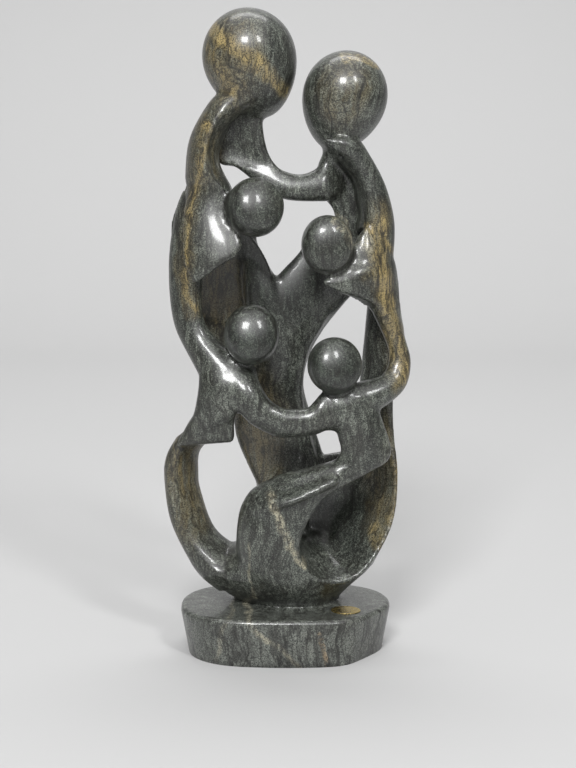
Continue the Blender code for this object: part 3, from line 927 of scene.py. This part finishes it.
cream = most(
    vein(6, (-11, 106), (-5, 88), (1, 68)),
    vein(3.5, (1, 68), (8, 56), (16, 44)),
    vein(2.2, (-31, 66), (-28, 12)) * 0.6,
    vein(4, (-34, 2), (-20, -16), (-1, -30), (14, -44)),
    vein(3, (-46, 2), (-54, -18), (-62, -38)) * 0.6,
    patch((66, -32, 324), (11, 18, 13)),
    vein(3, (39, 345), (51, 335), (55, 322)) * 0.8,
)
rust = vein(3, (31, -14), (36, -40))
# Black upright veins in the mother's head.
ink = most(
    vein(1.1, (37, 452), (38, 425), (36, 404)),
    vein(1.1, (51, 440), (53, 415), (50, 402)),
    vein(1.0, (62, 455), (64, 430), (60, 410)),
)
# Darker over the children's heads, the lower two most, and painted shade on the trunk deep behind the
# children, in the bowl's scoop, and under the bowl's overhang on its foot and the slab's top.
darker_heads_and_painted_shade = most(
    patch((-26, -40, 353), (38, 60, 38), 0.9) * 0.7,
    patch((35, -44, 322), (38, 60, 38), 0.9) * 0.55,
    patch((-29, -48, 243), (42, 60, 42), 0.9) * 1.2,
    patch((41, -50, 217), (42, 60, 42), 0.9) * 1.2,
    patch((-10, 30, 290), (70, 50, 60)),
    patch((40, 10, 70), (60, 50, 40)) * 0.75,
    patch((5, -30, 8), (70, 60, 16)) * 0.5,
)
# Darkens the children's heads and paints shade into the trunk's recess, the scoop and the space under
# the bowl.
stone = stone.tint(darker_heads_and_painted_shade, (0.34, 0.38, 0.35), "MULTIPLY")
stone = stone.tint(brown * (0.25 + broken * 0.75) * 0.75, (0.19, 0.148, 0.066))
stone = stone.tint(ochre * (0.35 + broken * 0.65) * (0.35 + fleck * 0.9), (0.38, 0.29, 0.12))
stone = stone.tint(cream * (0.25 + chips * 0.75) * (0.4 + fleck * 0.9), (0.42, 0.39, 0.28))
stone = stone.tint(rust * chips * 0.8, (0.40, 0.26, 0.12))
stone = stone.tint(rise.step(SLAB_TOP - 0.004, SLAB_TOP + 0.012, 0.32, 0.0), (0.22, 0.23, 0.21))


def thin_lines(noise, level, wide):
    """Lines along which a noise passes a level."""
    off = noise - level
    return off.sum("ABSOLUTE", off).step(0.0, wide, 1.0, 0.0)


lines = thin_lines(grain(upright, 62.0, 3.0, 0.5), 0.5, 0.05)
hairs = thin_lines(grain(upright, 150.0, 2.0, 0.5), 0.52, 0.06)
seams = thin_lines(grain(layered, 80.0, 3.0, 0.5), 0.5, 0.04)
stone = stone.tint(seams * mottle.step(0.4, 0.56) * 0.7, (0.010, 0.010, 0.008))
stone = stone.tint(ink * (0.4 + chips * 0.6) * 0.85, (0.008, 0.007, 0.005))
stone = stone.tint(lines * band.step(0.36, 0.56) * 0.75, (0.008, 0.007, 0.005))
stone = stone.tint(hairs * cloud.step(0.36, 0.54) * 0.75, (0.008, 0.007, 0.005))
stone = stone.tint(fleck.step(0.5, 0.4) * 0.9, (0.005, 0.005, 0.004))
stone = stone.tint(fleck.step(0.6, 0.72) * 0.4, (0.26, 0.27, 0.24))
feed(stone, polish, "Base Color")
feed(0.26 + fleck * 0.24 + mottle * 0.08, polish, "Roughness")
dents = place.node(
    "ShaderNodeBump",
    {},
    {"Height": fleck * 0.5 + fibre * 0.3 + mottle * 0.2, "Strength": 0.12, "Distance": 0.0015},
)
feed(dents, polish, "Normal")
polish.inputs["Specular IOR Level"].default_value = 0.65
polish.inputs["Coat Weight"].default_value = 0.4
polish.inputs["Coat Roughness"].default_value = 0.12
carving.data.materials.clear()
carving.data.materials.append(serpentine)


# The foil seal.
# A thin oval of gold foil, as a gallery sticks on its stone pieces, pressed onto the slab
# right of the front. It is blank, with a narrow raised rim and a few creases.

SEAL_LENGTH, SEAL_WIDTH, SEAL_THICK, SEAL_TURN = 0.026, 0.023, 0.0004, math.radians(-15)
seal_low, seal_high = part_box("foil_seal")
seal_middle = (Vector(seal_low) + Vector(seal_high)) / 2
rings = [(1.0, 0.0), (1.0, 0.7), (0.97, 1.0), (0.92, 1.0), (0.88, 0.75), (0.7, 0.72)]
rings += [(0.45, 0.7), (0.2, 0.7)]
points = []
sides = 72
for share, height in rings:
    for k in range(sides):
        angle = 2 * math.pi * k / sides
        x = share * SEAL_LENGTH / 2 * math.cos(angle)
        y = share * SEAL_WIDTH / 2 * math.sin(angle)
        points.append((x, y, height * SEAL_THICK))
seal = rough_block("blank_seal", points, ring_faces(len(points), sides))
seal.rotation_euler = (0, 0, SEAL_TURN)
seal.location = (seal_middle.x, seal_middle.y, seal_low[2])
for face in seal.data.polygons:
    face.use_smooth = True
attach(seal, "root")
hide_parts("foil_seal")
gold_foil, leaf, start = new_finish("gold_foil")
place = start.node("ShaderNodeTexCoord", out=3)
creases = {"Vector": place, "Scale": 260.0, "Detail": 4.0, "Distortion": 1.2}
crease = place.node("ShaderNodeTexNoise", {}, creases)
golds = [(0.35, (0.34, 0.24, 0.06)), (0.65, (0.78, 0.62, 0.26))]
feed(crease.node("ShaderNodeValToRGB", {"stops": golds}, {"Fac": crease}), leaf, "Base Color")
feed(crease.step(0.3, 0.7, 0.22, 0.45), leaf, "Roughness")
dents = place.node("ShaderNodeBump", {}, {"Height": crease, "Strength": 0.35, "Distance": 0.0006})
feed(dents, leaf, "Normal")
leaf.inputs["Metallic"].default_value = 1.0
seal.data.materials.append(gold_foil)


# The pale floor that the group stands on.
# A plain matt sheet that runs back and sweeps up behind the group. It isn't part of the object.

SHEET_FRONT, SHEET_BEND, BEND_RADIUS, SHEET_TOP, SHEET_HALF = -2.2, 1.5, 0.7, 3.2, 3.5
profile = [(SHEET_FRONT, 0.0), (0.9, 0.0)]
for turn in range(0, 91, 6):
    bend = math.radians(turn)
    profile.append((SHEET_BEND + BEND_RADIUS * math.sin(bend), BEND_RADIUS * (1 - math.cos(bend))))
profile.append((SHEET_BEND + BEND_RADIUS, SHEET_TOP))
points, faces = [], []
for y, z in profile:
    points += [(-SHEET_HALF, y, z), (SHEET_HALF, y, z)]
for k in range(len(profile) - 1):
    faces.append((2 * k, 2 * k + 1, 2 * k + 3, 2 * k + 2))
mesh = bpy.data.meshes.new("floor")
mesh.from_pydata(points, [], faces)
floor = bpy.data.objects.new("floor", mesh)
bpy.context.scene.collection.objects.link(floor)
for face in mesh.polygons:
    face.use_smooth = True
matt_paper, matt, _ = new_finish("pale_floor")
matt.inputs["Base Color"].default_value = (0.5, 0.5, 0.5, 1)
matt.inputs["Roughness"].default_value = 0.8
mesh.materials.append(matt_paper)


# The lights and the camera.
# Two soft boxes stand above the camera, side by side, and a wide one lights the sheet.
# The camera stands where the photograph's did.


def soft_box(name, place, target, wide, high, power):
    lamp = bpy.data.lights.new(name, "AREA")
    lamp.shape = "RECTANGLE"
    lamp.size, lamp.size_y, lamp.energy = wide, high, power
    stand = bpy.data.objects.new(name, lamp)
    stand.location = place
    stand.rotation_euler = (Vector(target) - Vector(place)).to_track_quat("-Z", "Y").to_euler()
    bpy.context.scene.collection.objects.link(stand)


soft_box("left_box", (-0.42, -2.5, 2.35), (0, 0, 0.3), 0.8, 0.75, 88)
soft_box("right_box", (1.25, -2.2, 2.45), (0, 0, 0.3), 0.35, 0.8, 36)
soft_box("ceiling", (0, -0.25, 1.9), (0, -0.1, 0.3), 2.2, 1.2, 7)
soft_box("wall_box", (0, 0.9, 2.6), (0, 1.9, 0.8), 2.2, 1.0, 42)

room = bpy.data.worlds.new("room")
room.use_nodes = True
room.node_tree.nodes["Background"].inputs["Color"].default_value = (0.93, 0.93, 0.93, 1)
room.node_tree.nodes["Background"].inputs["Strength"].default_value = 0.22
bpy.context.scene.world = room

FOCAL_LENGTH, SENSOR, LOOK_DOWN = 90.99, 36, math.radians(10.69)
lens = bpy.data.cameras.new("camera")
lens.sensor_width = SENSOR
lens.lens = FOCAL_LENGTH
camera = bpy.data.objects.new("camera", lens)
camera.location = (0.002, -1.66, 0.552)
camera.rotation_euler = (math.pi / 2 - LOOK_DOWN, 0, 0)
bpy.context.scene.collection.objects.link(camera)
bpy.context.scene.camera = camera
bpy.context.scene.view_settings.view_transform = "Standard"
